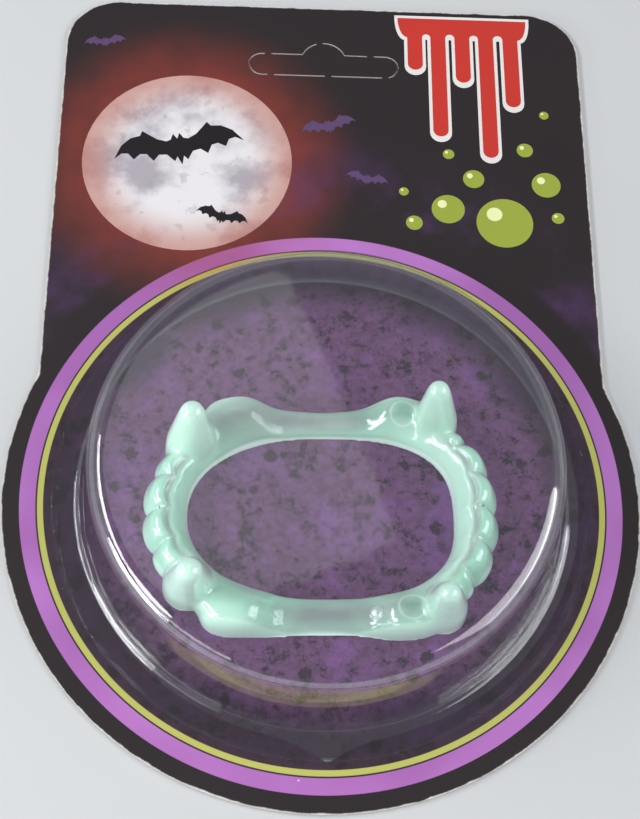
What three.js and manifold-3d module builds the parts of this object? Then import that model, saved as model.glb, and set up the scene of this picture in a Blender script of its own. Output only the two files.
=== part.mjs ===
// Vampire fang denture: one moulding of soft glow plastic, packed under a clear
// blister on a backing card. Millimetres, +Z up.
// The origin is the centre of the card's round part, on its back face. +X runs to
// the right along the card and +Y towards its hanging slot.

import * as THREE from "three";
import { mergeVertices } from "three/addons/utils/BufferGeometryUtils.js";
import Module from "manifold-3d";

const wasm = await Module();
wasm.setup();

// Backing card
const cardThickness = 0.6;
const cardRadius = 59.6;
const cardTopWidth = 109.2;
const cardTopEdge = 114.5;
const cardCornerRadius = 11;
const cardShoulderRadius = 12;

// Hanging slot, die-cut along its outline and held by small bridges
const slotWidth = 32;
const slotHeight = 5.8;
const slotEdgeMargin = 12.4;
const slotHumpRadius = 4.8;
const slotHumpHeight = 8.9;
const slitWidth = 0.3;
const slitBridge = 1.4;
const slitCount = 6;

// Clear blister
const blisterWall = 0.5;
const blisterHeight = 20;
const blisterRadius = 45.5;
const blisterTopInset = 2.5;
const blisterTopFillet = 4;
const blisterFootFillet = 1.2;
const flangeWidth = 5;
const flangeGap = 0.1;

// Denture: opening inside the ring, seen from above
const mouthLength = 49.3;
const mouthWidth = 32.3;
const dentureX = -0.45;
const dentureY = -4.95;
const dentureTurn = 1.1;
const dentureGap = 0.3;

// Denture: sizes shared by both halves
const wall = 1.3;
const farBandWidth = 5.65;
const nearBandWidth = 6.6;
const bandHeight = 2.1;
const earHeight = 5.5;
const notchDepth = 1.25;
const notchDip = 0.9;

// Upper arch, towards +X. Angles count from the middle of the arch.
const upper = {
  side: 1,
  roundness: 2.8,
  archWidth: 8.2,
  archHeight: 7.8,
  earWidth: 8.7,
  fangHeight: 16.2,
  fangRadius: 4.3,
  fangOffset: 6.2,
  fangAngle: 34.7,
  fangLeanOut: -0.5,
  fangLeanSide: 1.5,
  toothEdges: [0, 13, 23.8, 28.9],
};

// Lower arch, towards -X
const lower = {
  side: -1,
  roundness: 2.2,
  archWidth: 8.3,
  archHeight: 6.8,
  earWidth: 9,
  fangHeight: 15.6,
  fangRadius: 4.65,
  fangOffset: 5.4,
  fangAngle: 25.1,
  fangLeanOut: -0.8,
  fangLeanSide: 2,
  toothEdges: [0, 11.4, 20.5],
};

// How the body changes from the middle of an arch (0 degrees) to the middle of a
// side band (90 degrees). arch, ear and band say how much of each form a row has,
// width and height scale the size that they give.
upper.rows = [
  { angle: 0, arch: 1, ear: 0, band: 0, width: 1.0, height: 1.0 },
  { angle: 13, arch: 1, ear: 0, band: 0, width: 0.99, height: 1.0 },
  { angle: 19, arch: 1, ear: 0, band: 0, width: 0.96, height: 0.98 },
  { angle: 24, arch: 1, ear: 0, band: 0, width: 0.91, height: 0.94 },
  { angle: 29, arch: 0.85, ear: 0.15, band: 0, width: 0.88, height: 0.9 },
  { angle: 35, arch: 0.4, ear: 0.6, band: 0, width: 1.0, height: 0.92 },
  { angle: 40, arch: 0, ear: 1, band: 0, width: 1.07, height: 1.0 },
  { angle: 51, arch: 0, ear: 1, band: 0, width: 1.0, height: 1.09 },
  { angle: 64, arch: 0, ear: 0.35, band: 0.65, width: 0.99, height: 0.82 },
  { angle: 76, arch: 0, ear: 0.08, band: 0.92, width: 0.99, height: 0.95 },
  { angle: 90, arch: 0, ear: 0, band: 1, width: 1.0, height: 1.0 },
];
lower.rows = [
  { angle: 0, arch: 1, ear: 0, band: 0, width: 1.0, height: 1.0 },
  { angle: 11, arch: 1, ear: 0, band: 0, width: 0.99, height: 1.0 },
  { angle: 19, arch: 1, ear: 0, band: 0, width: 0.95, height: 0.97 },
  { angle: 25, arch: 0.7, ear: 0.3, band: 0, width: 0.92, height: 0.92 },
  { angle: 32, arch: 0.2, ear: 0.8, band: 0, width: 0.92, height: 0.94 },
  { angle: 37, arch: 0, ear: 1, band: 0, width: 1.1, height: 1.1 },
  { angle: 42, arch: 0, ear: 1, band: 0, width: 1.13, height: 1.22 },
  { angle: 53, arch: 0, ear: 1, band: 0, width: 0.97, height: 1.22 },
  { angle: 66, arch: 0, ear: 0.35, band: 0.65, width: 1.0, height: 0.8 },
  { angle: 77, arch: 0, ear: 0.1, band: 0.9, width: 1.0, height: 0.93 },
  { angle: 90, arch: 0, ear: 0, band: 1, width: 1.0, height: 1.0 },
];

// Outer skin of a section, from the inner foot over the top to the outer foot.
// Each pair is a share of the section's width and of its height, and notch says
// how far a gap between two teeth pulls the point in.
const skin = [
  { name: "inner foot", arch: [0, 0], ear: [0, 0], band: [0, 0], notch: 0 },
  { name: "inner lip", arch: [0.01, 0.27], ear: [0.01, 0.36], band: [0.01, 0.88], notch: 0 },
  { name: "inner slope", arch: [0.16, 0.64], ear: [0.12, 0.62], band: [0.1, 1], notch: 0 },
  { name: "ridge", arch: [0.37, 0.97], ear: [0.3, 0.88], band: [0.28, 1.03], notch: 0.25 },
  { name: "groove", arch: [0.48, 0.88], ear: [0.46, 0.98], band: [0.44, 1.03], notch: 0.35 },
  { name: "crest", arch: [0.59, 1.0], ear: [0.64, 1.0], band: [0.6, 1], notch: 0.5 },
  { name: "front top", arch: [0.76, 0.86], ear: [0.85, 0.92], band: [0.78, 0.88], notch: 0.8 },
  { name: "front middle", arch: [0.92, 0.52], ear: [0.97, 0.62], band: [0.9, 0.52], notch: 1 },
  { name: "front foot", arch: [1.0, 0.22], ear: [1.0, 0.25], band: [0.98, 0.18], notch: 1 },
  { name: "outer foot", arch: [1, 0], ear: [1, 0], band: [1, 0], notch: 1 },
];

// Outline of a fang from its root to its tip, as shares of its height and radius
const fangOutline = [
  { height: 0, radius: 1 },
  { height: 0.28, radius: 0.97 },
  { height: 0.5, radius: 0.81 },
  { height: 0.7, radius: 0.66 },
  { height: 0.84, radius: 0.55 },
  { height: 0.93, radius: 0.44 },
  { height: 0.98, radius: 0.27 },
  { height: 1, radius: 0 },
];

// Round marks that the mould leaves, placed by station angle and share of the width
const mouldMarks = [
  { name: "ejector mark below", angle: -45.5, across: 0.49, diameter: 4.8 },
  { name: "ejector mark above", angle: 46.1, across: 0.5, diameter: 4.6 },
  { name: "gate mark", angle: -60, across: 0.47, diameter: 2.6 },
];
const markDepth = 0.25;

// How a fang bends and how round a tooth's edge is, as powers
const fangBend = 1.3;
const toothRounding = 0.55;
const rootBlend = 5;

// Roof of the trough under the teeth, from the inner wall to the outer wall: a share
// of the section's width and of the trough's depth
const troughRoof = [
  { across: 0.37, depth: 1 },
  { across: 0.6, depth: 1 },
];
const troughInnerShoulder = 0.3;
const troughOuterShoulder = { across: 0.08, depth: 0.55 };

// Mesh resolution
const stationCount = 96;
const archCrowding = 0.2;
const fangSides = 18;
const markSides = 16;
const domeSides = 64;
const filletSteps = 5;
const cardRoundSteps = 96;
const outlineTolerance = 0.02;
const slotEndSteps = 10;
const slotHumpSteps = 14;

const degrees = THREE.MathUtils.degToRad;
const cardTop = cardThickness;

// Removes normals, texture coordinates, double points and collapsed triangles
function welded(geometry) {
  geometry.deleteAttribute("normal");
  geometry.deleteAttribute("uv");
  const merged = mergeVertices(geometry, 1e-4);
  const corners = Array.from(merged.index.array);
  const kept = [];
  for (let i = 0; i < corners.length; i += 3) {
    const [a, b, c] = corners.slice(i, i + 3);
    if (a !== b && b !== c && c !== a) kept.push(a, b, c);
  }
  merged.setIndex(kept);
  return merged;
}

function toSolid(geometry) {
  const closed = welded(geometry);
  return new wasm.Manifold(new wasm.Mesh({
    numProp: 3,
    vertProperties: new Float32Array(closed.attributes.position.array),
    triVerts: new Uint32Array(closed.index.array),
  }));
}

function toGeometry(solid) {
  const mesh = solid.getMesh();
  const geometry = new THREE.BufferGeometry();
  geometry.setAttribute("position", new THREE.BufferAttribute(mesh.vertProperties, 3));
  geometry.setIndex(new THREE.BufferAttribute(mesh.triVerts, 1));
  geometry.computeVertexNormals();
  return geometry;
}

// Points along an arc, both ends included
function arc(x, y, radius, from, to, steps) {
  return Array.from({ length: steps + 1 }, (_, i) => {
    const angle = degrees(from + ((to - from) * i) / steps);
    return new THREE.Vector2(x + radius * Math.cos(angle), y + radius * Math.sin(angle));
  });
}

// A curve through the rows of a table, level at both ends
function along(rows, read, angle) {
  const last = rows.length - 1;
  let k = 0;
  while (k < last - 1 && angle > rows[k + 1].angle) k += 1;
  const [from, to] = [rows[k], rows[k + 1]];
  const span = to.angle - from.angle;
  const slope = (i) => {
    if (i === 0 || i === last) return 0;
    const rise = read(rows[i + 1]) - read(rows[i - 1]);
    return rise / (rows[i + 1].angle - rows[i - 1].angle);
  };
  const t = THREE.MathUtils.clamp((angle - from.angle) / span, 0, 1);
  const t2 = t * t;
  const t3 = t2 * t;
  return (2 * t3 - 3 * t2 + 1) * read(from) + (t3 - 2 * t2 + t) * span * slope(k)
    + (3 * t2 - 2 * t3) * read(to) + (t3 - t2) * span * slope(k + 1);
}

// The half of the ring at a station, and its angle from the middle of that arch
function halfAt(angle) {
  const turned = THREE.MathUtils.euclideanModulo(angle + 180, 360) - 180;
  const isUpper = Math.abs(turned) <= 90;
  const half = isUpper ? upper : lower;
  return { half, fold: isUpper ? Math.abs(turned) : 180 - Math.abs(turned) };
}

// Inner edge of the ring at a station, with its outward direction
function innerEdge(angle) {
  const { half } = halfAt(angle);
  const p = half.roundness;
  const a = mouthLength / 2;
  const b = mouthWidth / 2;
  const c = Math.cos(degrees(angle));
  const s = Math.sin(degrees(angle));
  const reach = (Math.abs(c / a) ** p + Math.abs(s / b) ** p) ** (-1 / p);
  const x = reach * c;
  const y = reach * s;
  const out = new THREE.Vector2(
    (Math.sign(x) * Math.abs(x) ** (p - 1)) / a ** p,
    (Math.sign(y) * Math.abs(y) ** (p - 1)) / b ** p,
  ).normalize();
  return { x, y, out };
}

// 0 in the gap between two teeth and 1 at the middle of a tooth or past the teeth
function toothFullness(half, fold) {
  const edges = half.toothEdges;
  const lastEdge = edges[edges.length - 1];
  if (fold >= lastEdge) {
    return THREE.MathUtils.smoothstep(fold, lastEdge, lastEdge + rootBlend);
  }
  const k = edges.findIndex((edge, i) => fold >= edge && fold < edges[i + 1]);
  const t = (2 * fold - edges[k] - edges[k + 1]) / (edges[k + 1] - edges[k]);
  return (1 - t * t) ** toothRounding;
}

// Forms, sizes and notch of the body at a station
function bodyAt(angle) {
  const { half, fold } = halfAt(angle);
  const read = (column) => along(half.rows, (row) => row[column], fold);
  const mix = { arch: read("arch"), ear: read("ear"), band: read("band") };
  const bandWidth = Math.sin(degrees(angle)) > 0 ? farBandWidth : nearBandWidth;
  const width = mix.arch * half.archWidth + mix.ear * half.earWidth + mix.band * bandWidth;
  const height = mix.arch * half.archHeight + mix.ear * earHeight + mix.band * bandHeight;
  return {
    mix,
    width: width * read("width"),
    height: height * read("height"),
    notch: (1 - toothFullness(half, fold)) * mix.arch,
  };
}

function place(angle, across, height) {
  const edge = innerEdge(angle);
  return [edge.x + edge.out.x * across, edge.y + edge.out.y * across, height];
}

function outerSection(angle) {
  const body = bodyAt(angle);
  return skin.map((point) => {
    const blend = (axis) => body.mix.arch * point.arch[axis]
      + body.mix.ear * point.ear[axis] + body.mix.band * point.band[axis];
    const pull = body.notch * point.notch;
    const across = blend(0) * body.width - pull * notchDepth;
    const height = blend(1) * (body.height - pull * notchDip);
    return place(angle, across, height);
  });
}

// The trough under the teeth. In the side bands it sinks below the foot and cuts nothing.
function troughSection(angle) {
  const { mix, width, height, notch } = bodyAt(angle);
  const depth = Math.max((mix.arch + mix.ear) * height - (1 + mix.band) * wall, -wall / 2);
  const outside = width - notch * notchDepth - wall;
  const shoulder = Math.max(
    outside - width * troughOuterShoulder.across,
    width * troughRoof[1].across,
  );
  const shape = [
    [wall, -wall],
    [wall, depth * troughInnerShoulder],
    ...troughRoof.map((point) => [width * point.across, depth * point.depth]),
    [shoulder, depth * troughOuterShoulder.depth],
    [outside, -wall],
  ];
  return shape.map(([across, rise]) => place(angle, across, rise));
}

// Stations crowd together in the arches, where the teeth are
function stationAngles() {
  return Array.from({ length: stationCount }, (_, i) => {
    const turn = (360 * i) / stationCount;
    const crowd = archCrowding * Math.sin(degrees(2 * turn));
    return turn - THREE.MathUtils.radToDeg(crowd);
  });
}

// A closed ring through one section per station
function ringBody(sectionAt) {
  const sections = stationAngles().map(sectionAt);
  const points = sections[0].length;
  const index = [];
  sections.forEach((_, i) => {
    const next = (i + 1) % sections.length;
    for (let j = 0; j < points; j += 1) {
      const jNext = (j + 1) % points;
      const a = i * points + j;
      const b = i * points + jNext;
      const c = next * points + jNext;
      const d = next * points + j;
      index.push(a, b, c, a, c, d);
    }
  });
  const geometry = new THREE.BufferGeometry();
  geometry.setAttribute("position", new THREE.Float32BufferAttribute(sections.flat(2), 3));
  geometry.setIndex(index);
  return toSolid(geometry);
}

// One fang, round in section, leaning out of the ring from root to tip
function fang(half, side) {
  const outline = [new THREE.Vector2(0, 0)].concat(fangOutline.map((row) => (
    new THREE.Vector2(row.radius * half.fangRadius, row.height * half.fangHeight))));
  const geometry = new THREE.LatheGeometry(outline, fangSides);
  geometry.rotateX(Math.PI / 2);
  const station = half.side > 0 ? side * half.fangAngle : 180 - side * half.fangAngle;
  const [rootX, rootY] = place(station, half.fangOffset, 0);
  const position = geometry.attributes.position;
  for (let i = 0; i < position.count; i += 1) {
    const rise = Math.max(position.getZ(i) / half.fangHeight, 0) ** fangBend;
    position.setX(i, position.getX(i) + rootX + half.side * half.fangLeanOut * rise);
    position.setY(i, position.getY(i) + rootY + side * half.fangLeanSide * rise);
  }
  return toSolid(geometry);
}

// A shallow round sink in the top of the body
function mouldMark(mark) {
  const body = bodyAt(mark.angle);
  const [x, y] = place(mark.angle, body.width * mark.across, 0);
  const radius = mark.diameter / 2;
  const disc = new THREE.CylinderGeometry(radius, radius, body.height, markSides);
  disc.rotateX(Math.PI / 2);
  disc.translate(x, y, 1.5 * body.height - markDepth);
  return toSolid(disc);
}

function dentureGeometry() {
  let body = ringBody(outerSection);
  for (const half of [upper, lower]) {
    for (const side of [1, -1]) body = body.add(fang(half, side));
  }
  body = body.subtract(ringBody(troughSection));
  for (const mark of mouldMarks) body = body.subtract(mouldMark(mark));
  const geometry = toGeometry(body);
  geometry.rotateZ(degrees(dentureTurn));
  geometry.translate(dentureX, dentureY, cardTop + dentureGap);
  return geometry;
}

function blisterGeometry() {
  const foot = cardTop + flangeGap;
  const top = cardTop + blisterHeight;
  const topRadius = blisterRadius - blisterTopInset;
  const skinAt = (inset) => {
    const fillet = blisterTopFillet - inset;
    const rim = topRadius - inset;
    const height = top - inset;
    const shoulder = arc(rim - fillet, height - fillet, fillet, 90, 0, filletSteps);
    const footX = blisterRadius - inset;
    const bend = blisterFootFillet + inset;
    const seat = foot + blisterWall - inset;
    const heel = arc(footX + bend, seat + bend, bend, 180, 270, filletSteps);
    return [new THREE.Vector2(0, height), ...shoulder, ...heel];
  };
  const flangeEdge = blisterRadius + flangeWidth;
  const outside = skinAt(0);
  const inside = skinAt(blisterWall);
  const profile = [
    ...inside,
    new THREE.Vector2(flangeEdge, foot),
    new THREE.Vector2(flangeEdge, foot + blisterWall),
    ...outside.reverse(),
  ];
  const geometry = new THREE.LatheGeometry(profile, domeSides);
  geometry.rotateX(Math.PI / 2);
  return welded(geometry);
}

// Outline of the hanging slot, counterclockwise, centred on the slot's long middle line
function slotOutline() {
  const r = slotHeight / 2;
  const half = slotWidth / 2 - r;
  const humpY = slotHumpHeight - r - slotHumpRadius;
  const meet = THREE.MathUtils.radToDeg(Math.asin((r - humpY) / slotHumpRadius));
  return [
    ...arc(half, 0, r, -90, 90, slotEndSteps),
    ...arc(0, humpY, slotHumpRadius, meet, 180 - meet, slotHumpSteps),
    ...arc(-half, 0, r, 90, 270, slotEndSteps),
  ];
}

// Narrow cuts along the slot's outline, with a bridge of card between one and the next
function slotSlits(centreX, centreY) {
  const loop = slotOutline();
  const path = new THREE.CurvePath();
  loop.forEach((point, i) => {
    path.add(new THREE.LineCurve(point, loop[(i + 1) % loop.length]));
  });
  const total = path.getLength();
  const corners = path.getCurveLengths().map((length) => length / total);
  const margin = slitWidth / 2 / total;
  const pointAt = (share, across) => {
    const run = path.getPointAt(share + margin).sub(path.getPointAt(share - margin));
    const inward = new THREE.Vector2(-run.y, run.x).setLength(across);
    return path.getPointAt(share).add(inward);
  };
  return Array.from({ length: slitCount }, (_, k) => {
    const from = k / slitCount + slitBridge / total / 2;
    const to = (k + 1) / slitCount - slitBridge / total / 2;
    const between = corners.filter((share) => share > from + margin && share < to - margin);
    const shares = [from, ...between, to];
    const outside = shares.map((share) => path.getPointAt(share));
    const inside = shares.map((share) => pointAt(share, slitWidth));
    const slit = new THREE.ExtrudeGeometry(
      new THREE.Shape([...outside, ...inside.reverse()]),
      { depth: 3 * cardThickness, bevelEnabled: false },
    );
    slit.translate(centreX, centreY, -cardThickness);
    return toSolid(slit);
  });
}

// The card's sheet: a round with a head above it, blended where the two meet
function cardSheet() {
  const headWidth = cardTopWidth - 2 * cardCornerRadius;
  const headHeight = cardTopEdge - 2 * cardCornerRadius;
  const rounded = (outline, radius) => outline.offset(radius, "Round", 2, cardRoundSteps);
  const round = wasm.CrossSection.circle(cardRadius, cardRoundSteps);
  const core = wasm.CrossSection.square([headWidth, headHeight]);
  const head = rounded(core.translate([-headWidth / 2, cardCornerRadius]), cardCornerRadius);
  const blended = rounded(rounded(round.add(head), cardShoulderRadius), -cardShoulderRadius);
  return blended.simplify(outlineTolerance).extrude(cardThickness);
}

function cardGeometry() {
  const slotY = cardTopEdge - slotEdgeMargin - slotHeight / 2;
  let card = cardSheet();
  for (const slit of slotSlits(0, slotY)) card = card.subtract(slit);
  return toGeometry(card);
}

function part(name, geometry, look) {
  const mesh = new THREE.Mesh(geometry, new THREE.MeshStandardMaterial(look));
  mesh.name = name;
  return mesh;
}

const model = new THREE.Group();
model.name = "vampire_fang_denture_on_blister_card";
model.add(part("denture", dentureGeometry(), { color: 0x9fd8b8, roughness: 0.35, metalness: 0 }));
model.add(part("blister", blisterGeometry(), {
  color: 0xdfe6ea, roughness: 0.08, metalness: 0, transparent: true, opacity: 0.25,
}));
model.add(part("backing_card", cardGeometry(), { color: 0x141018, roughness: 0.5, metalness: 0 }));

export default model;
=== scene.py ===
import math

import bpy
import numpy as np
from bpy.props import FloatProperty, FloatVectorProperty, IntProperty, PointerProperty
from mathutils import Matrix, Quaternion, Vector


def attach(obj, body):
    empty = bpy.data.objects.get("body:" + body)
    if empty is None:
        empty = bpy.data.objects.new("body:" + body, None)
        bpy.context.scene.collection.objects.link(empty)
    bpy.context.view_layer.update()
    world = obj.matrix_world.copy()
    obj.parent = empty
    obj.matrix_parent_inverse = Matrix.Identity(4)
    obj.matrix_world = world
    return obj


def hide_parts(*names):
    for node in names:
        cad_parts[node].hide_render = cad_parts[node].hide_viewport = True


bl_info = {
    "name": "Fang denture on a blister card",
    "version": (1, 0, 0),
    "blender": (4, 5, 0),
    "location": "View3D > Sidebar > Denture",
    "description": "Builds a glow plastic fang denture, its clear blister and its backing card",
    "category": "Object",
}

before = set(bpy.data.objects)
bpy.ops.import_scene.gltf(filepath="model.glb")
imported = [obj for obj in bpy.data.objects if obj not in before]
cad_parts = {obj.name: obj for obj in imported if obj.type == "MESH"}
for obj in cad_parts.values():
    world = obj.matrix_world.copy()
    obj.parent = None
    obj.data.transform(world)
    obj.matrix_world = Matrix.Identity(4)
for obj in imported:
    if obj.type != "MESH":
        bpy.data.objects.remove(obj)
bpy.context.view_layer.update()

MM = 0.001


# Sizes and colours

def length(name, description, millimetres):
    return FloatProperty(
        name=name, description=description, default=millimetres * MM,
        unit="LENGTH", precision=5,
    )


def colour(name, description, value):
    return FloatVectorProperty(
        name=name, description=description, default=value,
        subtype="COLOR", size=3, min=0, max=1,
    )


def degrees(name, description, value):
    return FloatProperty(
        name=name, description=description, default=math.radians(value), subtype="ANGLE",
    )


def number(name, description, value, least):
    return IntProperty(name=name, description=description, default=value, min=least)


def strength(name, description, value):
    return FloatProperty(name=name, description=description, default=value)


def power(name, description, watts):
    return FloatProperty(name=name, description=description, default=watts, unit="POWER")


def in_millimetres(settings, *names):
    return [getattr(settings, name) / MM for name in names]


class DentureSettings(bpy.types.PropertyGroup):
    mouth_length: length("Mouth length", "Opening between the two arches", 49.3)
    mouth_width: length("Mouth width", "Opening between the side bands", 32.3)
    centre_x: length("Centre X", "Ring's centre along the card", -0.45)
    centre_y: length("Centre Y", "Ring's centre up the card", -4.95)
    turn: degrees("Turn", "How far the ring is turned on the card", 1.1)
    gap: length("Gap", "Space under the ring", 0.3)
    wall: length("Wall", "Thickness over the trough", 1.3)
    far_band: length("Far band", "Width of the side band towards the slot", 5.65)
    near_band: length("Near band", "Width of the other side band", 6.6)
    band_height: length("Band height", "Height of a side band", 2.1)
    ear_height: length("Ear height", "Height of the ears", 5.5)
    notch_depth: length("Notch depth", "How far a gap between teeth cuts in", 1.25)
    notch_dip: length("Notch dip", "How far a gap between teeth dips", 0.9)
    scallop: length("Scallop", "How far the gum line swings out at each tooth", 0.55)
    grain: length("Grain", "Edge of one face of the finished skin", 0.28)
    softness: number("Softness", "Rounds of smoothing on the ears and bands", 36, 0)
    plastic: colour("Plastic", "Colour of the thick plastic", (0.37, 0.70, 0.51))
    # Milky plastic, also painted as a highlight on the shelf behind the upper teeth and as a
    # faint glow
    milky: colour("Milky", "Colour of the fangs and rounded ends", (0.64, 0.92, 0.74))
    thin: colour("Thin", "Colour of the thin plastic", (0.37, 0.45, 0.39))
    shade: colour("Shade", "Colour of thin plastic over dark print", (0.32, 0.37, 0.35))
    # Painted light: the edges are brightened in the base colour and given off as emission
    lit: colour("Lit edge", "Colour of the light at the edges", (0.80, 1.0, 0.86))
    glow: strength("Glow", "Strength of the light at the edges", 0.45)


class BlisterSettings(bpy.types.PropertyGroup):
    wall: length("Wall", "Thickness of the clear sheet", 0.5)
    height: length("Height", "Height of the dome over the card", 20)
    radius: length("Radius", "Radius of the dome at its foot", 45.5)
    top_inset: length("Top inset", "How much smaller the top is than the foot", 2.5)
    top_fillet: length("Top fillet", "Radius of the rounded edge of the top", 4)
    foot_fillet: length("Foot fillet", "Radius of the bend into the flange", 1.2)
    flange: length("Flange", "Width of the flat flange", 5)
    edge: length("Edge", "Thickness at the flange's edge", 0.12)
    gap: length("Gap", "Space under the flange", 0.1)
    ripple: length("Ripple", "Unevenness of the formed sheet", 0.12)
    sides: number("Sides", "Faces round the dome", 160, 24)
    seal: length("Seal", "Radius where the seal starts", 47.1)
    seal_shift: length("Seal shift", "Place of the seal's centre to the right", 0.8)
    loose_width: length("Loose width", "Half the width of the unsealed spot in front", 11)
    loose_depth: length("Loose depth", "How far the unsealed spot reaches out", 3.6)
    tint: colour("Tint", "Colour of the clear sheet", (0.97, 0.985, 1.0))


class CardSettings(bpy.types.PropertyGroup):
    thickness: length("Thickness", "Thickness of the board", 0.6)
    radius: length("Radius", "Radius of the round part", 59.6)
    top_width: length("Top width", "Width of the straight upper part", 109.2)
    top_edge: length("Top edge", "Top edge over the round part's centre", 114.5)
    corner: length("Corner radius", "Radius of the upper corners", 11)
    lime_inner: length("Lime inner", "Inner radius of the lime ring", 51.9)
    lime_outer: length("Lime outer", "Outer radius of the lime ring", 53.0)
    purple_inner: length("Purple inner", "Inner radius of the purple ring", 53.3)
    purple_outer: length("Purple outer", "Outer radius of the purple ring", 56.3)
    wear: length("Wear", "Width of the worn edge", 0.35)
    ground: colour("Ground", "Printed black", (0.020, 0.015, 0.017))
    field: colour("Field", "Purple inside the rings", (0.150, 0.066, 0.138))
    violet: colour("Violet", "Brighter patches of the field", (0.220, 0.092, 0.262))
    blot: colour("Blot", "Dark blots on the field", (0.035, 0.022, 0.034))
    purple: colour("Purple", "Purple ring", (0.335, 0.117, 0.375))
    # Painted sheen, laid in random stretches of the purple ring
    purple_sheen: colour("Pale purple", "Lighter stretches of the purple ring", (0.47, 0.19, 0.54))
    lime: colour("Lime", "Lime ring", (0.43, 0.43, 0.11))
    fleck: colour("Fleck", "Small reddish flecks of the field", (0.13, 0.03, 0.06))
    halo: colour("Halo", "Glow round the moon", (0.30, 0.045, 0.03))
    mist: colour("Mist", "Mist over the printed black", (0.13, 0.05, 0.19))
    scuff: colour("Scuff", "Rubbed places of the print", (0.5, 0.5, 0.52))
    dust: colour("Dust", "Specks of dust", (0.8, 0.8, 0.8))
    board: colour("Board", "Paper inside the board", (0.62, 0.60, 0.56))


class PrintSettings(bpy.types.PropertyGroup):
    moon_x: length("Moon X", "Place of the moon along the card", -28)
    moon_y: length("Moon Y", "Place of the moon up the card", 74)
    moon_radius: length("Moon radius", "Radius of the moon", 21.5)
    moon: colour("Moon", "Ink of the moon", (0.66, 0.64, 0.66))
    sea: colour("Sea", "Ink of the moon's broad spots", (0.25, 0.22, 0.27))
    pit: colour("Pit", "Ink of the moon's small spots", (0.22, 0.19, 0.22))
    moon_rim: colour("Moon rim", "Ink of the moon's edge", (0.42, 0.14, 0.09))
    black: colour("Black", "Black ink", (0.010, 0.008, 0.010))
    violet: colour("Violet", "Ink of the far bats", (0.10, 0.055, 0.14))
    red: colour("Red", "Ink of the drips", (0.52, 0.035, 0.025))
    white: colour("White", "Ink round the drips", (0.72, 0.70, 0.68))
    lime: colour("Lime", "Ink of the bubbles", (0.30, 0.36, 0.05))
    pale: colour("Pale lime", "Ink of the bubbles' shine", (0.78, 0.82, 0.42))


class StageSettings(bpy.types.PropertyGroup):
    floor: colour("Floor", "Colour of the floor", (0.52, 0.53, 0.54))
    grain: colour("Grain", "Colour of the floor's grain", (0.5, 0.5, 0.5))
    lens: FloatProperty(
        name="Lens", description="Focal length", default=74.73, subtype="DISTANCE_CAMERA",
    )
    roll: degrees("Roll", "Turn of the camera about its own axis", 6.308)
    key: power("Key", "Power of the main light", 3.6)
    fill: power("Fill", "Power of the top light", 10.8)
    window: power("Window", "Power of the light that the dome mirrors", 0.14)
    strip: power("Strip", "Power of the low light that edges the dome", 0.35)
    low: power("Low", "Power of the low light from the left", 1.2)
    side: power("Side", "Power of the narrow light from the left", 1.4)
    sky_colour: colour("Sky colour", "Colour of the light all round", (0.93, 0.96, 1))
    sky: strength("Sky", "Strength of the light all round", 0.36)


# Tables of the denture. Angles count from the middle of an arch, and every other
# column is a share: of one of the three forms, or of the size that they give.
COLUMNS = ("angle", "arch", "ear", "band", "width", "height")
UPPER = {
    "side": 1, "roundness": 2.8, "arch_width": 8.2, "arch_height": 7.8, "ear_width": 8.7,
    "fang_height": 16.2, "fang_radius": 4.3, "fang_offset": 6.2, "fang_angle": 34.7,
    "lean_out": -0.5, "lean_side": 1.5, "tooth_edges": (0, 13, 23.8, 28.9),
    "rows": (
        (0, 1, 0, 0, 1.0, 1.0),
        (13, 1, 0, 0, 0.99, 1.0),
        (19, 1, 0, 0, 0.96, 0.98),
        (24, 1, 0, 0, 0.91, 0.94),
        (29, 0.85, 0.15, 0, 0.88, 0.9),
        (35, 0.4, 0.6, 0, 1.0, 0.92),
        (40, 0, 1, 0, 1.07, 1.0),
        (51, 0, 1, 0, 1.0, 1.09),
        (64, 0, 0.35, 0.65, 0.99, 0.82),
        (76, 0, 0.08, 0.92, 0.99, 0.95),
        (90, 0, 0, 1, 1.0, 1.0),
    ),
}
LOWER = {
    "side": -1, "roundness": 2.2, "arch_width": 8.3, "arch_height": 6.8, "ear_width": 9.0,
    "fang_height": 15.6, "fang_radius": 4.65, "fang_offset": 5.4, "fang_angle": 25.1,
    "lean_out": -0.8, "lean_side": 2, "tooth_edges": (0, 11.4, 20.5),
    "rows": (
        (0, 1, 0, 0, 1.0, 1.0),
        (11, 1, 0, 0, 0.99, 1.0),
        (19, 1, 0, 0, 0.95, 0.97),
        (25, 0.7, 0.3, 0, 0.92, 0.92),
        (32, 0.2, 0.8, 0, 0.92, 0.94),
        (37, 0, 1, 0, 1.1, 1.1),
        (42, 0, 1, 0, 1.13, 1.22),
        (53, 0, 1, 0, 0.97, 1.22),
        (66, 0, 0.35, 0.65, 1.0, 0.8),
        (77, 0, 0.1, 0.9, 1.0, 0.93),
        (90, 0, 0, 1, 1.0, 1.0),
    ),
}
# Name, then (share of width, share of height) of arch, ear and band, then how far a
# gap between teeth pulls the point in and how far the gum line's scallops move it
SKIN = (
    ("inner foot", (0, 0), (0, 0), (0, 0), 0, 0),
    ("inner lip", (0.01, 0.3), (0.01, 0.36), (0.01, 0.88), 0, 0),
    ("inner slope", (0.10, 0.57), (0.12, 0.62), (0.1, 1), 0, 0),
    ("ridge", (0.29, 0.87), (0.3, 0.88), (0.28, 1.03), 0.2, 0.6),
    ("groove", (0.43, 0.86), (0.46, 0.98), (0.44, 1.03), 0.5, 1),
    ("crest", (0.56, 1.0), (0.64, 1.0), (0.6, 1), 1.0, 0.6),
    ("front top", (0.78, 0.87), (0.85, 0.92), (0.78, 0.88), 1.2, 0),
    ("front middle", (0.92, 0.52), (0.97, 0.62), (0.9, 0.52), 1, 0),
    ("front foot", (1.0, 0.22), (1.0, 0.25), (0.98, 0.18), 1, 0),
    ("outer foot", (1, 0), (1, 0), (1, 0), 1, 0),
)
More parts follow.
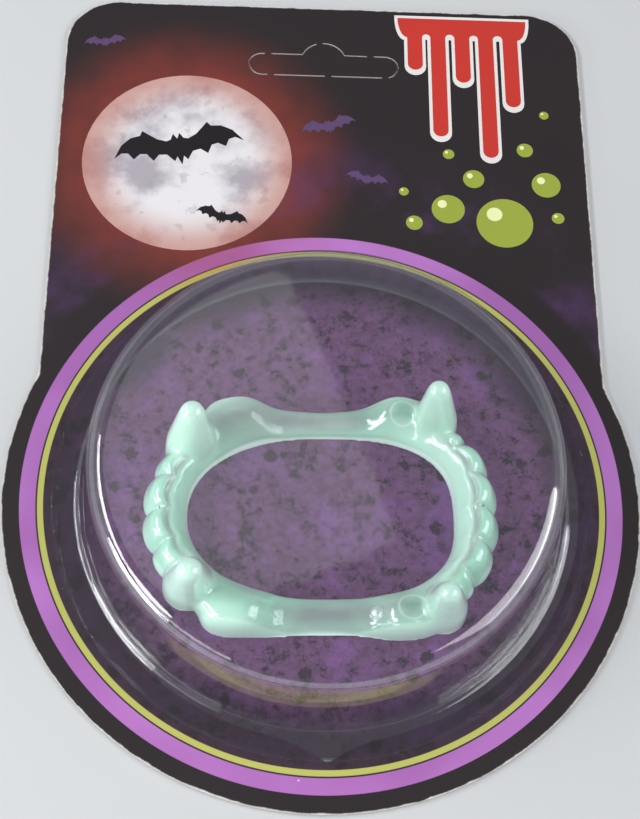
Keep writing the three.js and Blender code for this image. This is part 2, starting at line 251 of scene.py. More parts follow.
# Share of a fang's height and of its radius, from the root to the tip
FANG_OUTLINE = (
    (0, 1), (0.28, 0.97), (0.5, 0.81), (0.7, 0.66), (0.84, 0.55), (0.93, 0.44),
    (0.98, 0.27), (1, 0),
)
# Name, station angle, share of the width, diameter and depth in millimetres of each
# mark of the mould; the gate's mark stands out
MOULD_MARKS = (
    ("ejector mark below", -45.5, 0.49, 4.8, 0.05),
    ("ejector mark above", 46.1, 0.5, 4.6, 0.05),
    ("gate mark", -60, 0.47, 2.6, -0.2),
)
MARK_RIM_WIDTH = 0.22
MARK_RIM_DEPTH = 0.06
# Power of the curve over one tooth, degrees in which the last gap fades out and power
# of a fang's lean over its height
TOOTH_ROUNDING = 0.55
ROOT_BLEND = 5
FANG_BEND = 1.3
# Shares of the width and of the depth of the trough
TROUGH_ROOF = ((0.37, 1), (0.6, 1))
TROUGH_INNER_SHOULDER = 0.3
TROUGH_OUTER_SHOULDER = (0.08, 0.55)
# How finely the skin is made: sections round the ring, points between two rows of a
# section, sides of a fang, and rounds of smoothing of the whole and at the fangs' roots
STATIONS = 540
SKIN_STEPS = 5
FANG_SIDES = 56
SKIN_ROUNDS = 2
ROOT_ROUNDS = 14
# Where the side bands turn thin and thick again, in degrees, and the middle and half
# width of the thinnest part of a band and of the groove behind the teeth, as shares
THIN_FAR = (36, 84, 128, 160)
THIN_NEAR = (22, 76, 98, 124)
THIN_MIDDLE = (0.5, 0.35)
THIN_GROOVE = (0.44, 0.09)
# Stations at which the ring is read to colour and smooth its skin
DEGREES = np.linspace(-180, 180, 361)

# Share, number and phase of the waves that make the dome uneven
RIPPLES = ((1, 3, 0.6), (0.6, 7, 2), (0.4, 13, 0))

# Printed motifs, in millimetres on the card: place and span of each bat and its turn
# in degrees, place and radius of each bubble, middle and length of each drip
MOON_BATS = ((-30, 78, 27, 12), (-20.5, 61, 11, -14))
NIGHT_BATS = ((1, 84, 12, 16), (9, 71, 9, -12), (-46.5, 104, 9, 8))
BAT_WING = (
    (0, 0.10), (0.05, 0.20), (0.10, 0.10), (0.17, 0.08), (0.30, 0.14), (0.44, 0.27), (0.50, 0.33),
    (0.55, 0.25), (0.70, 0.23), (0.86, 0.12), (1.0, -0.10), (0.88, -0.02), (0.78, -0.04),
    (0.71, -0.16), (0.60, -0.08), (0.50, -0.10), (0.42, -0.24), (0.32, -0.14), (0.20, -0.16),
    (0.10, -0.30), (0.05, -0.22),
)
BUBBLES = (
    (37, 61, 5.8), (25.5, 64, 3.4), (46, 70.5, 3.0), (31, 71.5, 2.2), (18.5, 60.5, 1.7),
    (42, 79, 1.7), (26, 77.5, 1.2), (48, 62.5, 1.3), (16.5, 68, 1.0), (46.5, 88, 1.0),
)
DRIPS = ((19.6, 7), (24.6, 24), (29.8, 10), (34.9, 29), (40.2, 16))
DRIP_WIDTH = 3.2
DRIP_TOP = 112.6
DRIP_NECK = 107.5
DRIP_SHOULDER = 2
DRIP_EDGE = 0.7
INK_LAYER = 0.03
# Softness of a printed line's edge
LINE_EDGE = 0.08

# Setting, shape, place and size in metres of each light; all look at the frame's origin
LIGHTS = (
    ("key", "ELLIPSE", (-0.80, -0.30, 0.68), (0.36, 0.34)),
    ("fill", "RECTANGLE", (0.92, -0.12, 0.70), (1.00, 0.90)),
    ("window", "RECTANGLE", (-0.12, 0.24, 0.60), (0.34, 0.20)),
    ("strip", "RECTANGLE", (-0.36, -0.30, 0.20), (0.34, 0.05)),
    ("low", "ELLIPSE", (-0.45, 0.07, 0.33), (0.38, 0.09)),
    ("side", "ELLIPSE", (-0.55, -0.20, 0.11), (0.35, 0.08)),
)
CAMERA_PLACE = (-0.014536, -0.125695, 0.292454)
CAMERA_AIM = (-0.000605, 0.017777, 0.0006)
SENSOR_WIDTH = 36
FLOOR_REACH = 1.6
FLOOR_HEIGHT = -0.0002


# Outlines

def circle(x, y, radius, sides=64):
    spin = [2 * math.pi * k / sides for k in range(sides)]
    return [(x + radius * math.cos(t), y + radius * math.sin(t)) for t in spin]


def bat(x, y, span, turn):
    """Outline of a flying bat, mirrored from one wing."""
    right = [(a * span / 2, b * span / 2) for a, b in BAT_WING]
    left = [(-a, b) for a, b in right[:0:-1]]
    c, s = math.cos(math.radians(turn)), math.sin(math.radians(turn))
    tail = [(0, -0.38 * span / 2)]
    outline = right + tail + left
    return [(x + a * c - b * s, y + a * s + b * c) for a, b in outline][::-1]


def arc(x, y, radius, start, end, steps):
    """Points of an arc between two angles in degrees, both ends included."""
    turn = [math.radians(start + (end - start) * k / steps) for k in range(steps + 1)]
    return [(x + radius * math.cos(t), y + radius * math.sin(t)) for t in turn]


def drips(grow):
    """Outline of a run of drips under a straight edge, made wider all round by grow."""
    half = DRIP_WIDTH / 2 + grow
    neck = DRIP_NECK - grow
    first = DRIPS[0][0] - half - DRIP_SHOULDER
    last = DRIPS[-1][0] + half + DRIP_SHOULDER
    turn = [math.pi * k / 10 for k in range(11)]
    shoulder = [
        ((1 - math.cos(t / 2)) * DRIP_SHOULDER, DRIP_TOP - math.sin(t / 2) * (DRIP_TOP - neck))
        for t in turn[1:]
    ]
    outline = [(last, DRIP_TOP + grow), (first, DRIP_TOP + grow)]
    outline += [(first + x, y) for x, y in shoulder]
    for i, (middle, fall) in enumerate(DRIPS):
        low = neck - fall
        outline += [(middle - half * math.cos(t), low - half * math.sin(t)) for t in turn]
        if i + 1 < len(DRIPS):
            gap = (DRIPS[i + 1][0] - middle) / 2 - half
            centre = middle + half + gap
            outline += [(centre - gap * math.cos(t), neck + gap * math.sin(t)) for t in turn]
    return outline + [(last - x, y) for x, y in shoulder[::-1]]


# Mesh tools

def new_piece(name, points, faces, slot):
    """A smooth mesh object, which rides on the part's one body when it is given a slot."""
    mesh = bpy.data.meshes.new(name)
    mesh.from_pydata([tuple(p) for p in points], [], [tuple(f) for f in faces])
    mesh.validate()
    mesh.shade_smooth()
    piece = bpy.data.objects.new(name, mesh)
    bpy.context.scene.collection.objects.link(piece)
    if slot:
        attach(piece, "root")
    return piece


def dress(piece, material):
    """Gives every face of the piece this one material."""
    mesh = piece.data
    mesh.materials.clear()
    mesh.materials.append(material)
    mesh.polygons.foreach_set("material_index", [0] * len(mesh.polygons))


def lofted(rings, closed=False):
    """Points and faces through rings of equal length, with end caps unless it is closed."""
    count = len(rings[0])
    points = [point for ring in rings for point in ring]
    faces = []
    for i in range(len(rings) if closed else len(rings) - 1):
        here, there = i * count, (i + 1) % len(rings) * count
        for j in range(count):
            k = (j + 1) % count
            faces.append((here + j, here + k, there + k, there + j))
    if not closed:
        faces.append(tuple(range(count))[::-1])
        faces.append(tuple(range(len(points) - count, len(points))))
    return points, faces


def join_meshes(parts):
    points, faces = [], []
    for part_points, part_faces in parts:
        faces += [tuple(k + len(points) for k in face) for face in part_faces]
        points += part_points
    return points, faces


def applied(piece, kind, **settings):
    """Applies one modifier to the piece's mesh."""
    modifier = piece.modifiers.new(kind.title(), kind)
    for name, value in settings.items():
        setattr(modifier, name, value)
    graph = bpy.context.evaluated_depsgraph_get()
    mesh = bpy.data.meshes.new_from_object(piece.evaluated_get(graph))
    piece.modifiers.clear()
    old, piece.data = piece.data, mesh
    bpy.data.meshes.remove(old)


def read_points(mesh):
    flat = np.empty(len(mesh.vertices) * 3)
    mesh.vertices.foreach_get("co", flat)
    return flat.reshape(-1, 3)


def write_points(mesh, points):
    mesh.vertices.foreach_set("co", points.ravel())
    mesh.update()


def relax(mesh, weight, rounds):
    """Moves each point towards the middle of its neighbours, by its weight."""
    points = read_points(mesh)
    ends = np.empty(len(mesh.edges) * 2, dtype=int)
    mesh.edges.foreach_get("vertices", ends)
    a, b = ends.reshape(-1, 2).T
    count = np.bincount(np.concatenate((a, b)), minlength=len(points))[:, None]
    for _ in range(rounds):
        total = np.zeros_like(points)
        for axis in range(3):
            total[:, axis] = np.bincount(a, points[b, axis], len(points))
            total[:, axis] += np.bincount(b, points[a, axis], len(points))
        points += (total / np.maximum(count, 1) - points) * weight[:, None]
    write_points(mesh, points)


def put_numbers(mesh, name, values):
    layer = mesh.attributes.new(name, "FLOAT", "POINT")
    layer.data.foreach_set("value", values.astype(np.float32))


def smoothstep(value, low, high):
    t = np.clip((value - low) / (high - low), 0, 1)
    return t * t * (3 - 2 * t)


def plateau(value, rise_from, rise_to, fall_from, fall_to):
    return smoothstep(value, rise_from, rise_to) * (1 - smoothstep(value, fall_from, fall_to))


def bell(value, middle, width):
    return np.exp(-((value - middle) / width) ** 2)


def away_from(points, x, y):
    """Distance of each point from a place, seen from above."""
    return np.hypot(points[:, 0] - x, points[:, 1] - y)


def curve_through(points, steps):
    """Points of a smooth curve through the given ones, ends included."""
    points = [np.array(p, dtype=float) for p in points]
    padded = [2 * points[0] - points[1], *points, 2 * points[-1] - points[-2]]
    curve = []
    for a, b, c, d in zip(padded, padded[1:], padded[2:], padded[3:]):
        for k in range(steps):
            t = k / steps
            curve.append(0.5 * (
                2 * b + (c - a) * t + (2 * a - 5 * b + 4 * c - d) * t ** 2
                + (3 * b - a - 3 * c + d) * t ** 3
            ))
    return [*curve, points[-1]]


# Denture

def half_at(angle):
    turned = (angle + 180) % 360 - 180
    if abs(turned) <= 90:
        return UPPER, abs(turned)
    return LOWER, 180 - abs(turned)


def along(half, column, angle):
    """A curve through one column of a half's rows, level at both ends."""
    rows = half["rows"]
    at = COLUMNS.index(column)
    last = len(rows) - 1
    k = 0
    while k < last - 1 and angle > rows[k + 1][0]:
        k += 1
    start, end = rows[k], rows[k + 1]
    span = end[0] - start[0]

    def slope(i):
        if i in (0, last):
            return 0
        return (rows[i + 1][at] - rows[i - 1][at]) / (rows[i + 1][0] - rows[i - 1][0])

    t = min(max((angle - start[0]) / span, 0), 1)
    return (
        (2 * t ** 3 - 3 * t ** 2 + 1) * start[at] + (t ** 3 - 2 * t ** 2 + t) * span * slope(k)
        + (3 * t ** 2 - 2 * t ** 3) * end[at] + (t ** 3 - t ** 2) * span * slope(k + 1)
    )


def tooth_fullness(half, fold):
    """0 in the gap between two teeth, 1 at the middle of a tooth or past the teeth."""
    edges = half["tooth_edges"]
    if fold >= edges[-1]:
        return float(smoothstep(fold, edges[-1], edges[-1] + ROOT_BLEND))
    k = max(i for i, edge in enumerate(edges) if fold >= edge)
    t = (2 * fold - edges[k] - edges[k + 1]) / (edges[k + 1] - edges[k])
    return (1 - t * t) ** TOOTH_ROUNDING


class Denture:
    """Works out the denture's sections, in millimetres, from the settings."""

    def __init__(self, settings):
        for name in (
            "mouth_length", "mouth_width", "wall", "far_band", "near_band", "band_height",
            "ear_height", "notch_depth", "notch_dip", "scallop",
        ):
            setattr(self, name, getattr(settings, name) / MM)

    def body_at(self, angle):
        half, fold = half_at(angle)
        arch, ear, band = (along(half, form, fold) for form in ("arch", "ear", "band"))
        side_band = self.far_band if math.sin(math.radians(angle)) > 0 else self.near_band
        width = arch * half["arch_width"] + ear * half["ear_width"] + band * side_band
        height = arch * half["arch_height"] + ear * self.ear_height + band * self.band_height
        return {
            "forms": (arch, ear, band),
            "width": width * along(half, "width", fold),
            "height": height * along(half, "height", fold),
            "notch": (1 - tooth_fullness(half, fold)) * arch,
            "scallop": (tooth_fullness(half, fold) - 0.7) * arch,
        }

    def place(self, angle, across, height):
        """A point out from the ring's inner edge at a station."""
        half, _ = half_at(angle)
        p = half["roundness"]
        a, b = self.mouth_length / 2, self.mouth_width / 2
        c, s = math.cos(math.radians(angle)), math.sin(math.radians(angle))
        reach = (abs(c / a) ** p + abs(s / b) ** p) ** (-1 / p)
        x, y = reach * c, reach * s
        out = Vector((
            math.copysign(abs(x) ** (p - 1), x) / a ** p,
            math.copysign(abs(y) ** (p - 1), y) / b ** p,
        )).normalized()
        return (x + out.x * across, y + out.y * across, height)

    def outer_section(self, angle):
        body = self.body_at(angle)
        profile = []
        for _, *shares, notch, scallop in SKIN:
            across, rise = (
                sum(form * share[axis] for form, share in zip(body["forms"], shares))
                for axis in (0, 1)
            )
            pull = body["notch"] * notch
            swing = body["scallop"] * scallop * self.scallop
            profile.append((
                across * body["width"] - pull * self.notch_depth + swing,
                rise * (body["height"] - pull * self.notch_dip),
            ))
        smooth = curve_through(profile, SKIN_STEPS)
        return [self.place(angle, across, max(rise, 0)) for across, rise in smooth]

    def trough_section(self, angle):
        """The trough under the teeth. In the side bands it cuts nothing."""
        body = self.body_at(angle)
        arch, ear, band = body["forms"]
        width, wall = body["width"], self.wall
        depth = max((arch + ear) * body["height"] - (1 + band) * wall, -wall / 2)
        outside = width - body["notch"] * self.notch_depth - wall
        drop, share = TROUGH_OUTER_SHOULDER
        shoulder = max(outside - width * drop, width * TROUGH_ROOF[1][0])
        profile = [
            (wall, -wall),
            (wall, depth * TROUGH_INNER_SHOULDER),
            *((width * across, depth * rise) for across, rise in TROUGH_ROOF),
            (shoulder, depth * share),
            (outside, -wall),
        ]
        return [self.place(angle, across, rise) for across, rise in profile]

    def share_at(self, points, key, form=None):
        """A number of the body, read at each point's angle about the centre."""
        found = [self.body_at(a)[key] for a in DEGREES]
        if form is not None:
            found = [value[form] for value in found]
        return np.interp(np.degrees(np.arctan2(points[:, 1], points[:, 0])), DEGREES, found)

    def ring(self, section, stations):
        return lofted([section(360 * i / stations) for i in range(stations)], closed=True)

    def fang_root(self, half, side):
        """Place, radius and height of one fang."""
        station = side * half["fang_angle"]
        if half["side"] < 0:
            station = 180 - station
        x, y, _ = self.place(station, half["fang_offset"], 0)
        return x, y, half["fang_radius"], half["fang_height"]

    def fang(self, half, side):
        """One fang, round in section, leaning from its root to its tip."""
        root_x, root_y, radius, height = self.fang_root(half, side)
        rings = []
        for share, wide in curve_through(FANG_OUTLINE, SKIN_STEPS):
            rise = max(share, 0) ** FANG_BEND
            x = root_x + half["side"] * half["lean_out"] * rise
            y = root_y + side * half["lean_side"] * rise
            outline = circle(x, y, max(wide, 0.004) * radius, FANG_SIDES)
            rings.append([(*point, share * height) for point in outline])
        return lofted(rings)

    def marks(self):
        """Place, radius and depth of each mark of the mould, and the skin's height there."""
        for _, angle, across, diameter, depth in MOULD_MARKS:
            body = self.body_at(angle)
            x, y, _ = self.place(angle, body["width"] * across, 0)
            yield x, y, diameter / 2, depth, body["height"]


def mark_skin(points, shape):
    """Presses the round marks of the mould into the top of the skin."""
    for x, y, radius, depth, height in shape.marks():
        away = away_from(points, x, y)
        top = points[:, 2] > height * 0.55
        rim = bell(away, radius, MARK_RIM_WIDTH) * MARK_RIM_DEPTH
        sink = (1 - smoothstep(away, radius - 0.35, radius)) * depth
        points[:, 2] -= (rim + sink) * top


class SkinShares:
    """Shares of thin plastic, of milky plastic with a painted highlight, and of painted edge
    light at each point of the skin.
    """

    def __init__(self, points, shape, roots):
        self.points, self.shape, self.roots = points, shape, roots
        self.rise = points[:, 2]
        self.height = shape.share_at(points, "height")
        self.ear, self.band = (shape.share_at(points, "forms", form) for form in (1, 2))
        self.angle = np.degrees(np.arctan2(points[:, 1], points[:, 0]))
        edge = np.array([shape.place(angle, 0, 0)[:2] for angle in DEGREES])
        inner = np.hypot(*(np.interp(self.angle, DEGREES, edge[:, axis]) for axis in (0, 1)))
        width = shape.share_at(points, "width")
        self.across = (np.hypot(points[:, 0], points[:, 1]) - inner) / width

    def at_fang(self, x, y, radius):
        return 1 - smoothstep(away_from(self.points, x, y), radius * 0.85, radius * 1.3)

    def thin(self):
        """The side bands and the groove behind the teeth, but not the fangs."""
        bands = plateau(self.angle, *THIN_FAR) + plateau(-self.angle, *THIN_NEAR)
        middle = bell(self.across, *THIN_MIDDLE)
        groove = bell(self.across, *THIN_GROOVE) * (1 - self.band) * (1 - self.ear) * 0.6
        thin = np.clip(bands * (0.35 + 0.65 * middle) + groove, 0, 1)
        for x, y, radius, _ in self.roots:
            tall = smoothstep(self.rise, self.height * 0.8, self.height * 1.2)
            thin *= 1 - self.at_fang(x, y, radius) * tall
        return thin

    def milky(self):
        """The ears, the fangs and the gate's mark, and a painted highlight on the shelf behind
        the upper teeth.
        """
        milky = np.clip(self.ear * 0.6 * smoothstep(self.across, 0.4, 1.0), 0, 1)
        # Painted highlight: the shelf behind the upper teeth is whitened as if it caught the
        # light
        upper = smoothstep(np.cos(np.radians(self.angle)), 0.3, 0.9)
        milky = np.maximum(milky, 0.75 * ((1 - smoothstep(self.across, 0.35, 0.6)) * upper))
        for x, y, radius, height in self.roots:
            tip = smoothstep(self.rise, height * 0.22, height * 0.8)
            milky = np.maximum(milky, self.at_fang(x, y, radius) * (0.35 + 0.65 * tip))
        for x, y, radius, depth, _ in self.shape.marks():
            if depth < 0:
                away = away_from(self.points, x, y)
                stub = 1 - smoothstep(away, radius - 0.4, radius + 0.1)
                milky = np.maximum(milky, (self.rise > self.height * 0.5) * stub)
        return milky

    def lit(self):
        """Painted light at the foot, the inner and the outer edge and the rings of the ejector
        marks.
        """
        lit = bell(np.maximum(self.rise, 0), 0, 0.7)
        lit = np.maximum(lit, 0.65 * bell(np.maximum(self.across, 0), 0, 0.02))
        lit = np.maximum(lit, 0.25 * smoothstep(self.across, 0.93, 1.0))
        for x, y, radius, depth, _ in self.shape.marks():
            if depth > 0:
                ring = bell(away_from(self.points, x, y), radius, MARK_RIM_WIDTH)
                lit = np.maximum(lit, (self.rise > self.height * 0.5) * 0.3 * ring)
        return lit


# Materials

class Wire:
    """An output of a node, so that sums and products can be written as they read."""

    def __init__(self, look, socket):
        self.look, self.socket = look, socket

    def __add__(self, other):
        return self.look.math("ADD", self, other)

    def __sub__(self, other):
        return self.look.math("SUBTRACT", self, other)

    def __rsub__(self, other):
        return self.look.math("SUBTRACT", other, self)

    def __mul__(self, other):
        return self.look.math("MULTIPLY", self, other)

    def __truediv__(self, other):
        return self.look.math("DIVIDE", self, other)

    __radd__, __rmul__ = __add__, __mul__


class Look:
    """Builds one procedural material."""

    def __init__(self, name):
        self.material = bpy.data.materials.new(name)
        self.material.use_nodes = True
        self.tree = self.material.node_tree
        self.tree.nodes.clear()
        coordinates = self.tree.nodes.new("ShaderNodeTexCoord")
        self.place = Wire(self, coordinates.outputs["Object"])
        self.normal = Wire(self, coordinates.outputs["Normal"])

    def put(self, socket, value):
        if isinstance(value, Wire):
            self.tree.links.new(value.socket, socket)
        elif socket.type == "RGBA":
            socket.default_value = (*value, 1)
        else:
            socket.default_value = value

    def node(self, kind, inputs, output=0, **settings):
        node = self.tree.nodes.new("ShaderNode" + kind)
        for name, value in settings.items():
            setattr(node, name, value)
        for key, value in inputs.items():
            self.put(node.inputs[key], value)
        return Wire(self, node.outputs[output])

    def across_and_up(self):
        """Place on the card in millimetres, to the right and up."""
        split = self.tree.nodes.new("ShaderNodeSeparateXYZ")
        self.put(split.inputs[0], self.place)
        return (Wire(self, split.outputs[k]) / MM for k in (0, 1))

    def math(self, operation, a, b=0.0):
        return self.node("Math", {0: a, 1: b}, operation=operation)

    def step(self, value, low, high):
        return self.node(
            "MapRange", {"Value": value, "From Min": low, "From Max": high},
            interpolation_type="SMOOTHSTEP",
        )

    def past(self, value, line):
        """0 before a printed line's edge and 1 behind it."""
        return self.step(value, line - LINE_EDGE, line + LINE_EDGE)

    def reach(self, x, y):
        return self.math("SQRT", x * x + y * y)

    def noise(self, scale, detail, roughness, stretch=(1, 1, 1), shift=(0, 0, 0)):
        spot = self.node("Mapping", {"Vector": self.place, "Scale": stretch, "Location": shift})
        return self.node(
            "TexNoise",
            {"Vector": spot, "Scale": scale, "Detail": detail, "Roughness": roughness},
        )

    def voronoi(self, scale, randomness):
        return self.node(
            "TexVoronoi", {"Vector": self.place, "Scale": scale, "Randomness": randomness},
            output="Distance",
        )

    def mix(self, share, a, b):
        return self.node("Mix", {"Factor": share, 6: a, 7: b}, output=2, data_type="RGBA")

    def layered(self, base, *layers):
        """The base colour with other colours laid over it, each by its share."""
        for share, tone in layers:
            base = self.mix(share, base, tone)
        return base

    def bump(self, height, distance, strength):
        return self.node("Bump", {"Height": height, "Distance": distance, "Strength": strength})

    def attribute(self, name):
        return self.node("Attribute", {}, output="Fac", attribute_name=name)

    def print_gloss(self, base_colour, shift=(0, 0, 0), **inputs):
        """The half matt gloss that the card and the inks share."""
        return self.node("BsdfPrincipled", {
            "Base Color": base_colour,
            "Roughness": 0.30 + 0.2 * self.noise(30, 3, 0.6, shift=shift),
            "Specular IOR Level": 0.3,
            **inputs,
        })

    def finish(self, shader):
        out = self.tree.nodes.new("ShaderNodeOutputMaterial")
        self.tree.links.new(shader.socket, out.inputs["Surface"])
        return self.material


def glow_plastic(settings):
    look = Look("glow_plastic")
    thin, milky, lit = (look.attribute(name) for name in ("thin", "milky", "lit"))
    cloud = look.noise(140, 3, 0.55)
    patch = look.noise(45, 2, 0.5, shift=(0.4, 0.1, 0))
    through = look.mix(look.step(cloud, 0.4, 0.6), settings.thin, settings.shade)
    # Painted light: the lit edges are laid over the colour, and the milky share holds a painted
    # highlight
    body = look.layered(
        settings.plastic,
        (look.step(patch, 0.35, 0.7) * 0.35, settings.milky),
        (milky, settings.milky),
        (thin * (0.8 + 0.4 * patch), through),
        (lit, settings.lit),
    )
    # Painted glow: the lit edges and a little of the milky parts give off light as emission
    light = look.mix(look.math("MAXIMUM", lit, milky * 0.2), (0, 0, 0), settings.lit)
    fine = look.noise(900, 2, 0.5)
    streaks = look.noise(260, 2, 0.5, stretch=(1, 4, 4))
    relief = look.bump(0.3 * fine + 0.7 * streaks, 0.00016, 0.5)
    shader = look.node("BsdfPrincipled", {
        "Base Color": body,
        "Roughness": 0.09 + 0.1 * cloud,
        "IOR": 1.47,
        "Subsurface Weight": 0.65,
        "Subsurface Radius": (0.8, 1.0, 0.9),
        "Subsurface Scale": 0.0014,
        "Coat Weight": 1 - 0.6 * thin,
        "Coat IOR": 1.75,
        "Coat Roughness": 0.05,
        "Sheen Weight": 0.3,
        "Sheen Roughness": 0.4,
        "Emission Color": light,
        "Emission Strength": settings.glow,
        "Normal": relief,
    })
    return look.finish(shader)


def clear_sheet(settings):
    look = Look("clear_sheet")
    relief = look.bump(look.noise(60, 2, 0.4), 0.00008, 0.6)
    gloss = look.node("BsdfGlossy", {"Color": (1, 1, 1), "Roughness": 0.04, "Normal": relief})
    through = look.node("BsdfTransparent", {"Color": settings.tint})
    mirror = look.node("Fresnel", {"IOR": 1.5, "Normal": relief})
    mirror = look.math("MINIMUM", mirror, 0.26)
    mirror = mirror * (1 - 0.93 * sealed_flange(look, settings))
    return look.finish(look.node("MixShader", {0: mirror, 1: through, 2: gloss}))


def sealed_flange(look, settings):
    """1 where the flange is sealed to the card and hardly shows, else 0."""
    seal, shift, width, depth = in_millimetres(
        settings, "seal", "seal_shift", "loose_width", "loose_depth",
    )
    x, y = look.across_and_up()
    x = x - shift
    loose = look.math("MAXIMUM", 1 - look.math("ABSOLUTE", x) / width, 0)
    loose = loose * loose * depth * look.step(y, 0, -10)
    reach = look.reach(x, y) - loose + 0.9 * (look.noise(130, 3, 0.6) - 0.5)
    return look.step(reach, seal - 0.2, seal + 0.2)


def mottled_field(look, settings, reach, broad, mid):
    """The blotted purple inside the rings, darker towards them."""
    fine = look.noise(520, 6, 0.72, shift=(0.2, 0.3, 0))
    grain = look.noise(760, 3, 0.7, shift=(0.7, 0.2, 0))
    tiny = look.noise(620, 2, 0.6, shift=(0.1, 0.7, 0))
    patches = look.step(broad + 0.4 * (mid - 0.5), 0.5, 0.66)
    drops = look.step(look.voronoi(150, 0.9) + 0.5 * (fine - 0.5), 0.22, 0.15)
    dusk = look.step(reach + 14 * (broad - 0.5), 37, 47)
    return look.layered(
        settings.blot,
        (look.step(fine + 0.7 * (mid - 0.5), 0.36, 0.50), settings.field),
        (patches * 0.8, settings.violet),
        (look.step(mid, 0.56, 0.7) * 0.5, settings.violet),
        (look.step(grain, 0.46, 0.6) * 0.3, settings.violet),
        (look.step(grain, 0.5, 0.38) * 0.22, settings.blot),
        (look.step(tiny, 0.62, 0.7) * 0.35, settings.fleck),
        (drops * look.step(mid, 0.4, 0.5) * 0.9, settings.blot),
        (dusk * 0.85, settings.ground),
    )


def card_edge(look, settings, x, y, reach):
    """Distance in millimetres from the card's edge, inwards."""
    radius, width, top_edge, corner = in_millimetres(
        settings, "radius", "top_width", "top_edge", "corner",
    )
    over_x = look.math("MAXIMUM", look.math("ABSOLUTE", x) - (width / 2 - corner), 0)
    over_y = look.math("MAXIMUM", y - (top_edge - corner), 0)
    head = look.math("MAXIMUM", look.reach(over_x, over_y) - corner, 0 - y)
    return 0 - look.math("MINIMUM", head, reach - radius)


def from_moon(look, prints):
    """Distance from the moon's middle, as a share of its radius."""
    x, y = look.across_and_up()
    moon_x, moon_y, radius = in_millimetres(prints, "moon_x", "moon_y", "moon_radius")
    return look.reach(x - moon_x, y - moon_y) / radius


def printed_card(settings, prints):
    look = Look("printed_card")
    x, y = look.across_and_up()
    reach = look.reach(x, y)
    broad = look.noise(62, 4, 0.6)
    mid = look.noise(190, 5, 0.65, shift=(0.6, 0.1, 0))
    lime_inner, lime_outer, purple_inner, purple_outer = in_millimetres(
        settings, "lime_inner", "lime_outer", "purple_inner", "purple_outer",
    )

    field = mottled_field(look, settings, reach, broad, mid)
    outside = look.past(reach, lime_inner)
    lime = outside * (1 - look.past(reach, lime_outer))
    purple = look.past(reach, purple_inner) * (1 - look.past(reach, purple_outer))
    # Painted sheen: random stretches of the purple ring are lightened
    stretch = look.step(look.noise(26, 2, 0.5, shift=(0.3, 0.9, 0)), 0.42, 0.62) * 0.6

    halo = 1 - look.step(from_moon(look, prints), 0.9, 1.75)
    halo = halo * look.noise(60, 3, 0.6) * outside
    mist = look.step(look.noise(45, 5, 0.62, shift=(0.8, 0.4, 0)), 0.42, 0.72)
    mist = mist * look.step(reach, 84, 60) * look.step(reach, 60.5, 63)
    scuff = look.step(look.noise(90, 5, 0.8, stretch=(1, 6, 1)), 0.72, 0.78)
    dust = look.step(look.voronoi(95, 1), 0.022, 0.010) * look.step(mid, 0.46, 0.5)
    rough_edge = card_edge(look, settings, x, y, reach) - 0.8 * (look.noise(260, 4, 0.7) - 0.5)
    printed = look.layered(
        settings.ground,
        (1 - outside, field),
        (lime, settings.lime),
        (purple, look.mix(stretch, settings.purple, settings.purple_sheen)),
        (halo * 0.9, settings.halo),
        (mist * 0.45, settings.mist),
        (scuff * 0.12, settings.scuff),
        (dust, settings.dust),
        (1 - look.step(rough_edge, 0, settings.wear / MM), settings.board),
    )
    facing = look.node("SeparateXYZ", {0: look.normal}, output=2)
    base_colour = look.mix(look.step(facing, 0.4, 0.6), settings.board, printed)
    relief = look.bump(look.noise(420, 3, 0.6), 0.00004, 0.12)
    return look.finish(look.print_gloss(base_colour, shift=(0.5, 0.5, 0), Normal=relief))


def ink(name, tone, black):
    """Printed ink with the card's gloss and a little wear."""
    look = Look(name)
    worn = look.step(look.noise(150, 4, 0.7), 0.68, 0.76) * 0.25
    shade = look.mix(look.noise(60, 3, 0.6) * 0.3, tone, [0.6 * part for part in tone])
    return look.finish(look.print_gloss(look.mix(worn, shade, black)))


def moon_ink(prints):
    """A pale disc with soft grey seas, darker towards its rim."""
    look = Look("moon_ink")
    seas = look.step(look.noise(75, 4, 0.6, shift=(0.3, 0.6, 0)), 0.42, 0.66)
    pits = look.step(look.noise(300, 3, 0.6), 0.6, 0.68)
    rim = look.step(from_moon(look, prints), 0.55, 1)
    shade = look.layered(
        prints.moon,
        (seas * 0.75, prints.sea),
        (pits * 0.3, prints.pit),
        (rim * 0.7, prints.moon_rim),
    )
    return look.finish(look.print_gloss(shade))


# Operators, one for each piece and one for the stage

